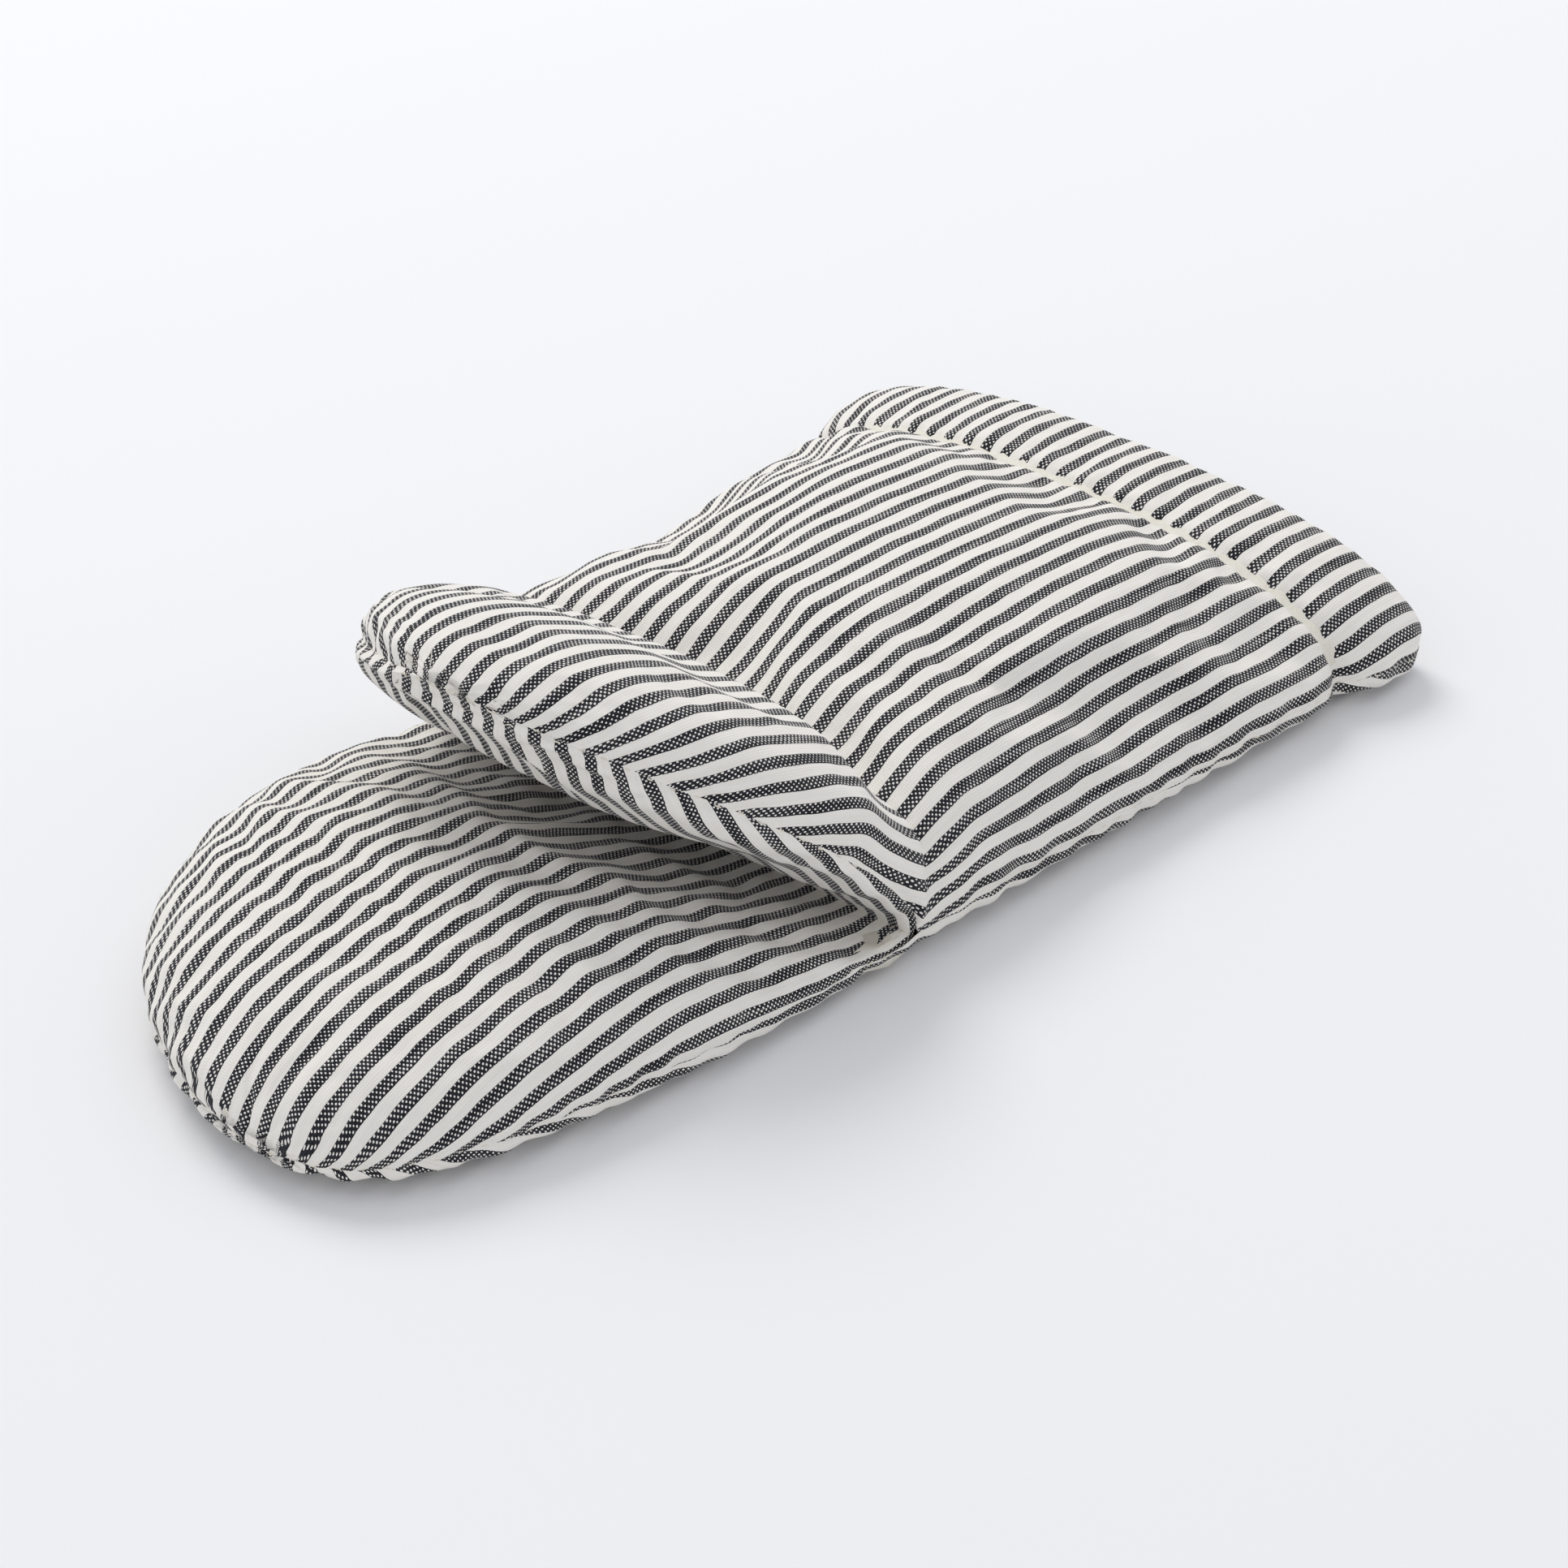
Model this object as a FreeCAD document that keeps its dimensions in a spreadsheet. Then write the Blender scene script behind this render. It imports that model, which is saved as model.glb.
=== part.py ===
"""Oven mitt with a full-width thumb flap, lying palm up.

Three sewn panels make it: the back, the palm, which turns at the crease and runs on up the underside of
the thumb flap, and the wrist panel, which runs on over the top of the thumb flap. Each is a sandwich of
linen shell, wadding and cotton lining. X runs across the mitt, Y from the fingertips (-Y) to the cuff
(+Y) and Z up from the table. The origin is on the table, under the crease that the thumb flap turns on.

A panel is a pillow-shaped wall: half ellipses above or below the seams, lofted along the mitt. Each of
its layers is the space between two such pillows, one inside the other. A panel that crosses a fold line
is parted there, because its two sides turn on each other.
"""
import FreeCAD, Part
import math
import os

from FreeCAD import Placement, Rotation, Vector

doc = FreeCAD.newDocument("oven_mitt")

# ---------------------------------------------------------------- driving dimensions, in millimetres
SIZES = {
    "finger_length": (153, "crease of the thumb flap to the fingertips"),
    "hand_length": (183, "crease of the thumb flap to the open end of the cuff"),
    "crease_half": (75, "half of the width at the crease"),
    "cuff_half": (90, "half of the width at the open end"),
    "finger_sweep": (16, "how far the fingertips lean towards +X"),
    "seam_level": (8, "height of the side seams above the table"),
    "hand_rise": (37, "top of the wrist panel above the seams"),
    "palm_rise": (28, "crown of the palm panel above the seams"),
    "back_drop": (14, "half height of the back's ellipse, which the table cuts flat"),
    "thumb_length": (98, "crease to the tip of the thumb flap"),
    "thumb_rise": (36, "top of the thumb flap above its own seam, at the root"),
    "thumb_drop": (10, "underside of the thumb flap below its own seam"),
    "thumb_lift": (44, "angle between the thumb flap and the table, in degrees"),
    "root_gap": (28, "crease to the start of the wrist panel"),
    "knuckle_line": (58, "crease to the line where the fingers curl"),
    "fold_gap": (0.6, "space between the walls on the two sides of the knuckle line"),
    "cloth": (0.8, "thickness of the linen shell"),
    "wadding": (4.5, "thickness of the wadding"),
    "lining": (0.7, "thickness of the cotton lining"),
    "facing": (0.9, "thickness of the cuff facing"),
    "facing_depth": (32, "how far the cuff facing reaches into the mitt"),
    "stitch_length": (3.2, "length of one stitch"),
    "stitch_pitch": (5.5, "distance from one stitch to the next"),
    "thread": (0.7, "diameter of the sewing thread"),
}
sheet = doc.addObject("Spreadsheet::Sheet", "Sizes")
for row, (alias, (value, meaning)) in enumerate(SIZES.items(), start=1):
    sheet.set(f"A{row}", meaning)
    sheet.set(f"B{row}", str(value))
    sheet.setAlias(f"B{row}", alias)
doc.recompute()


def size(alias):
    """The value of one driving dimension."""
    return float(sheet.get(alias))


# The depth of each layer's outer face below the surface, then of the face inside the last layer.
DEPTHS = (
    "0",
    "Sizes.cloth",
    "(Sizes.cloth + Sizes.wadding)",
    "(Sizes.cloth + Sizes.wadding + Sizes.lining)",
    "(Sizes.cloth + Sizes.wadding + Sizes.lining + Sizes.facing)",
)
LAYERS = ("shell", "wadding", "lining")
FACING = len(LAYERS)  # the cuff facing is one layer further in
FAR = 400  # longer than the mitt, for the boxes that cut it
SPARE = 4  # how far a wall is lofted past the place where it is cut off
CLEAR = 0.5  # from the cloth to the side of a stitch, because the lofts stray a little between their rings
UPRIGHT = Rotation(Vector(1, 0, 0), 90)  # stands a ring across the mitt

# The outline of a closed end: the width falls as (1 - fraction^bluntness)^power.
FINGER_BLUNTNESS, FINGER_POWER = 2.8, 0.48
THUMB_BLUNTNESS, THUMB_POWER = 2.1, 0.56
FINGER_STATIONS = (0.12, 0.24, 0.36, 0.48, 0.62, 0.76, 0.88, 0.96, 0.994)
THUMB_STATIONS = (0, 0.1, 0.2, 0.3, 0.4, 0.5, 0.6, 0.7, 0.8, 0.88, 0.95, 0.99)
CROWN, STEEPNESS = 0.58, 1.5  # the palm's crown as a share of the finger length, and its slope up there


def closing(fraction, bluntness, power):
    """The share of the full width or height that is left at a fraction of the way to a closed end."""
    return max(0.0, 1 - fraction**bluntness) ** power


def sweep(fraction):
    """The share of the finger sweep: a little towards -X by the knuckles, then towards +X at the tips."""
    return 1.5 * fraction**4 - 0.5 * fraction


# ---------------------------------------------------------------- pillows
# A station is (place along the mitt, lean across it, half width, half height), all as expressions.
# INSET in them stands for the depth of the layer, so a deeper pillow lies wholly inside an outer one.
def pillows(name, stations, level, depths=len(DEPTHS) - 1):
    """Nested lofts through ellipses: one for the outer face of each layer, and one for the inside."""
    made = []
    for depth in range(depths):
        rings = []
        for number, station in enumerate(stations):
            place, lean, wide, high = (text.replace("INSET", DEPTHS[depth]) for text in station)
            ring = doc.addObject("Part::Ellipse", f"{name}_ring_{depth}_{number}")
            ring.Placement = Placement(Vector(0, 0, 0), UPRIGHT)
            ring.setExpression("Placement.Base.x", lean)
            ring.setExpression("Placement.Base.y", place)
            ring.setExpression("Placement.Base.z", level)
            ring.setExpression("MajorRadius", wide)
            ring.setExpression("MinorRadius", high)
            rings.append(ring)
        loft = doc.addObject("Part::Loft", f"{name}_pillow_{depth}")
        loft.Sections, loft.Solid, loft.Ruled = rings, True, False
        made.append(loft)
    return made


def hand_width(place):
    share = f"({place}) / Sizes.hand_length"
    return f"Sizes.crease_half + {share} * (Sizes.cuff_half - Sizes.crease_half) - INSET"


def finger_width(fraction):
    share = closing(fraction, FINGER_BLUNTNESS, FINGER_POWER)
    return f"{share:.4f} * (Sizes.crease_half - INSET)"


def finger_station(fraction, height):
    place = f"-{fraction} * (Sizes.finger_length - INSET)"
    return place, f"{sweep(fraction):.4f} * Sizes.finger_sweep", finger_width(fraction), height


def wrist_stations():
    """The wrist panel flares and gets flatter from the thumb's root to the open end of the cuff."""
    rises = ((0, 1.0), (0.25, 1.0), (0.5, 0.94), (0.75, 0.82), (1, 0.68))
    stations = []
    for share, rise in rises:
        start, run = f"(Sizes.root_gap - {SPARE})", f"(Sizes.hand_length - Sizes.root_gap + {2 * SPARE})"
        place = f"{start} + {share} * {run}"
        stations.append((place, "0", hand_width(place), f"{rise} * Sizes.hand_rise - INSET"))
    return stations


def palm_stations():
    """The palm panel climbs from the crease over its crown and falls to the fingertips."""
    stations = []
    for fraction in (0.06, *FINGER_STATIONS):
        climb = math.sin(math.pi / 2 * min(1.0, fraction / CROWN)) ** STEEPNESS
        rise = climb * closing(fraction, 4.5, 0.5)
        stations.append(finger_station(fraction, f"{rise:.4f} * (Sizes.palm_rise - INSET)"))
    return stations


def back_stations():
    """The back panel has the outline of the panels above it, over the whole length."""
    stations, steps = [], 8
    for number in range(steps, -1, -1):
        place = f"{number / steps} * (Sizes.hand_length + {SPARE})"
        stations.append((place, "0", hand_width(place), "Sizes.back_drop - INSET"))
    for fraction in FINGER_STATIONS:
        drop = closing(fraction, 6, 0.5)
        stations.append(finger_station(fraction, f"{drop:.4f} * (Sizes.back_drop - INSET)"))
    return stations


def thumb_stations(fractions, height):
    """One side of the thumb flap, modelled lying flat with its crease at the origin."""
    stations = []
    for fraction in fractions:
        place = f"-{fraction} * (Sizes.thumb_length - INSET)" if fraction else "0"
        wide = closing(fraction, THUMB_BLUNTNESS, THUMB_POWER)
        stations.append((place, "0", f"{wide:.4f} * (Sizes.crease_half - INSET)", height(fraction)))
    return stations


def thumb_top(fraction):
    share = (1 - 0.45 * fraction) * closing(fraction, 5, 0.5)
    return f"{share:.4f} * (Sizes.thumb_rise - INSET)"


def thumb_underside(fraction):
    """Flat by the crease, where the palm lies against it, and fullest towards the tip."""
    share = (0.3 + 0.7 * math.sin(math.pi * fraction**2.3)) * closing(fraction, 6, 0.5)
    return f"{share:.4f} * (Sizes.thumb_drop - INSET)"


wrist_pillows = pillows("wrist", wrist_stations(), "Sizes.seam_level", FACING + 2)
palm_pillows = pillows("palm", palm_stations(), "Sizes.seam_level")
back_pillows = pillows("back", back_stations(), "Sizes.seam_level", FACING + 2)
thumb_back_pillows = pillows("thumb_back", thumb_stations(THUMB_STATIONS, thumb_top), "0")
thumb_palm_pillows = pillows("thumb_palm", thumb_stations(THUMB_STATIONS[2:], thumb_underside), "0")


# ---------------------------------------------------------------- walls between the pillows
def region(name, start, end, bottom, top):
    """A box across the whole width, between two places along the mitt and two levels."""
    box = doc.addObject("Part::Box", name)
    box.Placement.Base = Vector(-FAR / 2, 0, 0)
    box.Length = FAR
    box.setExpression("Placement.Base.y", start)
    box.setExpression("Placement.Base.z", bottom)
    box.setExpression("Width", f"({end}) - ({start})")
    box.setExpression("Height", f"({top}) - ({bottom})")
    return box


def both(name, one, other):
    made = doc.addObject("Part::Common", name)
    made.Base, made.Tool = one, other
    return made


def without(name, base, tool):
    made = doc.addObject("Part::Cut", name)
    made.Base, made.Tool = base, tool
    return made


SEAM, SKY, TABLE = "Sizes.seam_level", f"{FAR}", "0"
TIP_END, OPEN_END = f"-{FAR} / 2", "Sizes.hand_length"
HAND_SIDE = "-Sizes.knuckle_line + Sizes.fold_gap / 2"
FINGER_SIDE = "-Sizes.knuckle_line - Sizes.fold_gap / 2"
FACING_START = "Sizes.hand_length - Sizes.facing_depth"

parts = {}  # node name: the object that holds its shape


def upper_wall(panel, pillow, layer, box, label):
    """One layer of a panel that lies above the seams, kept inside a region."""
    wall = without(f"{panel}_wall_{layer}", pillow[layer], pillow[layer + 1])
    parts[label] = both(label, wall, box)


def back_wall(layer, box, label):
    """One layer of the back, flat where it lies on the table or on the layer below."""
    solids = []
    for depth in (layer, layer + 1):
        slab = region(f"{label}_slab_{depth}", TIP_END, SKY, DEPTHS[depth], SEAM)
        solids.append(both(f"{label}_solid_{depth}", back_pillows[depth], slab))
    wall = without(f"{label}_wall", *solids)
    parts[label] = both(label, wall, box)


wrist_region = region("wrist_region", "Sizes.root_gap", OPEN_END, SEAM, SKY)
palm_region = region("palm_region", HAND_SIDE, "0", SEAM, SKY)
finger_palm_region = region("finger_palm_region", TIP_END, FINGER_SIDE, SEAM, SKY)
hand_back_region = region("hand_back_region", HAND_SIDE, OPEN_END, TABLE, SEAM)
finger_back_region = region("finger_back_region", TIP_END, FINGER_SIDE, TABLE, SEAM)
thumb_back_region = region("thumb_back_region", TIP_END, "0", "0", SKY)
thumb_palm_region = region("thumb_palm_region", TIP_END, "0", f"-{FAR}", "0")

for layer, kind in enumerate(LAYERS):
    upper_wall("wrist", wrist_pillows, layer, wrist_region, f"wrist_{kind}")
    upper_wall("palm", palm_pillows, layer, palm_region, f"palm_{kind}")
    upper_wall("finger_palm", palm_pillows, layer, finger_palm_region, f"finger_palm_{kind}")
    upper_wall("thumb_back", thumb_back_pillows, layer, thumb_back_region, f"thumb_back_{kind}")
    upper_wall("thumb_palm", thumb_palm_pillows, layer, thumb_palm_region, f"thumb_palm_{kind}")
    back_wall(layer, hand_back_region, f"back_{kind}")
    back_wall(layer, finger_back_region, f"finger_back_{kind}")

facing_region = region("facing_region", FACING_START, OPEN_END, TABLE, SKY)
upper_wall("wrist", wrist_pillows, FACING, wrist_region, "facing_above")
back_wall(FACING, hand_back_region, "facing_below")
facing_ring = doc.addObject("Part::Fuse", "facing_ring")
facing_ring.Base, facing_ring.Tool = parts.pop("facing_above"), parts.pop("facing_below")
parts["cuff_facing"] = both("cuff_facing", facing_ring, facing_region)


# ---------------------------------------------------------------- stitches
def stitch(middle, along):
    """One stitch: a short length of thread with its middle at a point."""
    along = along.normalize()
    length = size("stitch_length")
    return Part.makeCylinder(size("thread") / 2, length, middle - along * (length / 2), along)


def row_of_stitches(points, out):
    """Stitches an even pitch apart along a line of points, lying just outside it."""
    solids, gone, due = [], 0.0, size("stitch_pitch") / 2
    clear = size("thread") / 2 + CLEAR
    for here, there, away in zip(points, points[1:], out):
        step = there - here
        while due <= gone + step.Length:
            spot = here + step * ((due - gone) / step.Length)
            solids.append(stitch(spot + away * clear, Vector(step)))
            due += size("stitch_pitch")
        gone += step.Length
    return solids


def outward(points, centre):
    """A level unit vector for each step of a line, pointing away from the centre line at x = centre."""
    away = []
    for here, there in zip(points, points[1:]):
        side = (there - here).cross(Vector(0, 0, 1)).normalize()
        middle = (here + there) * 0.5
        away.append(side if side.x * (middle.x - centre) + side.y * middle.y > 0 else side * -1)
    return away


def finger_outline(start):
    """The seam round the fingertips, from the +X side to the -X side, beyond a place before the tip."""
    steps, half, length = 90, size("crease_half"), size("finger_length")
    points = []
    for number in range(steps + 1):
        angle = math.pi * number / steps
        fraction = math.sin(angle) ** 0.7
        wide = half * closing(fraction, FINGER_BLUNTNESS, FINGER_POWER)
        across = size("finger_sweep") * sweep(fraction) + math.copysign(wide, math.cos(angle))
        points.append(Vector(across, -length * fraction, size("seam_level")))
    return [point for point in points if -point.y >= start]


def thumb_outline():
    """The seam round the thumb flap, from the +X side to the -X side, with the flap lying flat."""
    steps, half, length = 70, size("crease_half"), size("thumb_length")
    points = []
    for number in range(steps + 1):
        angle = math.pi * number / steps
        fraction = math.sin(angle) ** 0.7
        wide = half * closing(fraction, THUMB_BLUNTNESS, THUMB_POWER)
        points.append(Vector(math.copysign(wide, math.cos(angle)), -length * fraction, 0))
    return [point for point in points if -point.y >= 0.1 * length]


def side_line(side, start, end, steps=12):
    """A side seam between two places behind the crease."""
    points = []
    for number in range(steps + 1):
        y = start + (end - start) * number / steps
        half = size("crease_half") + y / size("hand_length") * (size("cuff_half") - size("crease_half"))
        points.append(Vector(side * half, y, size("seam_level")))
    return points


def palm_line(side, start, end, steps=12):
    """A side seam between the crease and the knuckle line."""
    points = []
    for number in range(steps + 1):
        y = start + (end - start) * number / steps
        fraction = -y / size("finger_length")
        wide = size("crease_half") * closing(fraction, FINGER_BLUNTNESS, FINGER_POWER)
        points.append(Vector(size("finger_sweep") * sweep(fraction) + side * wide, y, size("seam_level")))
    return points


def cuff_row():
    """The row of stitches across the top of the cuff that holds the facing."""
    steps, y = 60, size("hand_length") - size("facing_depth")
    start, end = size("root_gap") - SPARE, size("hand_length") + SPARE
    share = (y - start) / (end - start)
    high = size("hand_rise") * (0.82 + (0.68 - 0.82) * (share - 0.75) / 0.25)
    wide = size("crease_half") + y / size("hand_length") * (size("cuff_half") - size("crease_half"))
    points = []
    for number in range(steps + 1):
        angle = math.pi * (0.06 + 0.88 * number / steps)
        points.append(Vector(wide * math.cos(angle), y, size("seam_level") + high * math.sin(angle)))
    away = []
    for here, there in zip(points, points[1:]):
        away.append((there - here).cross(Vector(0, 1, 0)).normalize())
    return points, [side if side.z > 0 else side * -1 for side in away]


def add_stitches(label, solids):
    made = doc.addObject("Part::Feature", label)
    made.Shape = Part.makeCompound(solids)
    parts[label] = made


knuckle, end_gap = size("knuckle_line"), size("stitch_length")
fingertips = finger_outline(knuckle + end_gap)
beyond_tips = outward(fingertips, size("finger_sweep"))
add_stitches("fingertip_seam_stitches", row_of_stitches(fingertips, beyond_tips))
sides, palms = [], []
for side in (1, -1):
    for solids, line in ((sides, side_line(side, end_gap, size("hand_length") - end_gap)),
                         (palms, palm_line(side, -end_gap, -knuckle + end_gap))):
        solids += row_of_stitches(line, [Vector(side, 0, 0)] * len(line))
add_stitches("side_seam_stitches", sides)
add_stitches("palm_seam_stitches", palms)
thumb_line = thumb_outline()
add_stitches("thumb_seam_stitches", row_of_stitches(thumb_line, outward(thumb_line, 0)))
add_stitches("cuff_row_stitches", row_of_stitches(*cuff_row()))

# ---------------------------------------------------------------- the thumb flap stands up on its crease
crease = Vector(0, 0, size("seam_level"))
for label, made in parts.items():
    if label.startswith("thumb_"):
        made.Placement = Placement(crease, Rotation(Vector(1, 0, 0), -size("thumb_lift")))

# ---------------------------------------------------------------- check and write
doc.recompute()
for made in doc.Objects:
    if "Invalid" in made.State or "Error" in made.State:
        raise RuntimeError(f"{made.Name} failed: {made.State}")
os.makedirs("parts", exist_ok=True)
for label, made in sorted(parts.items()):
    made.Label = label
    shape = made.Shape
    if shape.isNull() or not shape.isValid() or not shape.Solids:
        raise RuntimeError(f"{label} has no valid solid")
    print(f"{label:26s} {len(shape.Solids):3d} solids {shape.Volume / 1000:8.2f} cm3")
    shape.exportStep(f"parts/{label}.step")
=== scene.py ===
"""Oven mitt of striped linen, lying palm up, with a full-width thumb flap.

The cloth of all panels is one bag: ribs from side seam to side seam, shaped from the frame's sizes. A
cloth simulation wrinkles the bag, and it is then cut apart at the seams into the mitt's own pieces.
"""

import logging
import math
from collections.abc import Callable
from dataclasses import dataclass, field
from enum import Enum
from typing import ClassVar

import bmesh
import bpy
import numpy as np
from mathutils import Matrix, Vector
from mathutils.bvhtree import BVHTree


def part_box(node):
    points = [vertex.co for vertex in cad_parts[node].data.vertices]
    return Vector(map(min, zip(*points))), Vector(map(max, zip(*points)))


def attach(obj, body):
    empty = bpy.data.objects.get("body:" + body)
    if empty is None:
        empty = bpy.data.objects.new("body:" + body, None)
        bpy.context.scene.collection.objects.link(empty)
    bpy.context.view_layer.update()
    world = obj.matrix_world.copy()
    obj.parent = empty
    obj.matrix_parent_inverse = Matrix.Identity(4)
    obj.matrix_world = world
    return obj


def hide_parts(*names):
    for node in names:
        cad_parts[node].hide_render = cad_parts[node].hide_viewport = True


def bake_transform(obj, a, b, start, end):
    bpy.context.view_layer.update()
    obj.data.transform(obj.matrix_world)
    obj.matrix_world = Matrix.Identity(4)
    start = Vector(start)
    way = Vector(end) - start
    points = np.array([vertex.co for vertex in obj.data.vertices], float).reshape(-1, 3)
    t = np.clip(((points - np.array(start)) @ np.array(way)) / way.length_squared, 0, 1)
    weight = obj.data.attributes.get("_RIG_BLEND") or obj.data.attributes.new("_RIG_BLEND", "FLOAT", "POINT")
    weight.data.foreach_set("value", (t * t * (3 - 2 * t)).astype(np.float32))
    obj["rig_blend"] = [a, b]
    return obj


LOG = logging.getLogger("mitt")
MM = 0.001

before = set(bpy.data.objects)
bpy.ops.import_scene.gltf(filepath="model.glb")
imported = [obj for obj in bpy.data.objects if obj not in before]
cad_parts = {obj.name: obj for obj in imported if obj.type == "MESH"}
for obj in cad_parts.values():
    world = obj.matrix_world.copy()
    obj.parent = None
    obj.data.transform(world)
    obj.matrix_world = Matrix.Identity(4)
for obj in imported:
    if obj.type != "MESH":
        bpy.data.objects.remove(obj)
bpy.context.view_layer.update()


# ---------------------------------------------------------------- colours and nodes
def linear(code: str) -> tuple[float, float, float, float]:
    """Turn an sRGB hex colour into linear RGBA.

    Args:
        code: Six hex digits.

    Returns:
        The colour as Blender's sockets take it.
    """
    parts = (int(code[i : i + 2], 16) / 255 for i in (0, 2, 4))
    return (*(p / 12.92 if p <= 0.04045 else ((p + 0.055) / 1.055) ** 2.4 for p in parts), 1.0)


def add_node(tree: bpy.types.NodeTree, kind: str, inputs: dict | None = None, **settings) -> bpy.types.Node:
    """Add one shader node.

    Args:
        tree: The material's node tree.
        kind: The node's type, without the ShaderNode in front.
        inputs: Socket name or number to a value, or to the output socket to link.
        settings: The node's own properties.

    Returns:
        The new node.
    """
    node = tree.nodes.new(f"ShaderNode{kind}")
    for name, value in settings.items():
        setattr(node, name, value)
    for key, value in (inputs or {}).items():
        if isinstance(value, bpy.types.NodeSocket):
            tree.links.new(value, node.inputs[key])
        else:
            node.inputs[key].default_value = value
    return node


# ---------------------------------------------------------------- curves
def closing(fraction: float, bluntness: float, power: float) -> float:
    """Return the share of the full width or height left at a fraction of the way to a rounded end."""
    return max(0.0, 1 - fraction**bluntness) ** power


def ease(value: float) -> float:
    """Return a smooth step from 0 to 1."""
    t = min(1.0, max(0.0, value))
    return t * t * (3 - 2 * t)


def bezier(points: tuple[tuple[float, float], ...], t: float) -> tuple[float, float]:
    """Return the point of a cubic Bezier curve in the YZ plane at t."""
    weights = ((1 - t) ** 3, 3 * t * (1 - t) ** 2, 3 * t * t * (1 - t), t**3)
    return tuple(sum(w * p[k] for w, p in zip(weights, points)) for k in (0, 1))


@dataclass(frozen=True)
class Rib:
    """One line of cloth across the mitt, from side seam to side seam, in millimetres.

    Args:
        half: Half of the width between the seams.
        lean: The middle's place across the mitt.
        seam: Y and Z of both ends.
        crown: Y and Z of the middle.
        square: How square the shoulders are.
        full: How full the sides are.
    """

    half: float
    lean: float
    seam: tuple[float, float]
    crown: tuple[float, float]
    square: float = 2.2
    full: float = 2.0

    FINE: ClassVar[int] = 241  # points that the curve is measured with

    def points(self, columns: int) -> tuple[np.ndarray, np.ndarray]:
        """Space points evenly along the rib.

        Args:
            columns: The number of spaces.

        Returns:
            The points, and how far along the cloth each lies from the mitt's middle plane.
        """
        q = np.sin(np.linspace(-math.pi / 2, math.pi / 2, self.FINE))
        rise = (1 - np.abs(q) ** self.square) ** (1 / self.full)
        line = np.stack(
            [
                self.lean + self.half * q,
                self.seam[0] + (self.crown[0] - self.seam[0]) * rise,
                self.seam[1] + (self.crown[1] - self.seam[1]) * rise,
            ],
            axis=1,
        )
        along = np.concatenate([[0], np.cumsum(np.linalg.norm(np.diff(line, axis=0), axis=1))])
        at = np.linspace(0, along[-1], columns + 1)
        spaced = np.stack([np.interp(at, along, line[:, k]) for k in range(3)], axis=1)
        middle = np.interp(0, line[:, 0], along) if self.half > 0 else along[-1] / 2
        return spaced, at - middle


class Panel(Enum):
    """The cut pieces of linen, by the number that their faces carry in the bag."""

    WRIST = 1
    PALM = 2
    THUMB_UNDERSIDE = 3
    BACK = 4
    FACING_ABOVE = 5
    FACING_BELOW = 6


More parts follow.
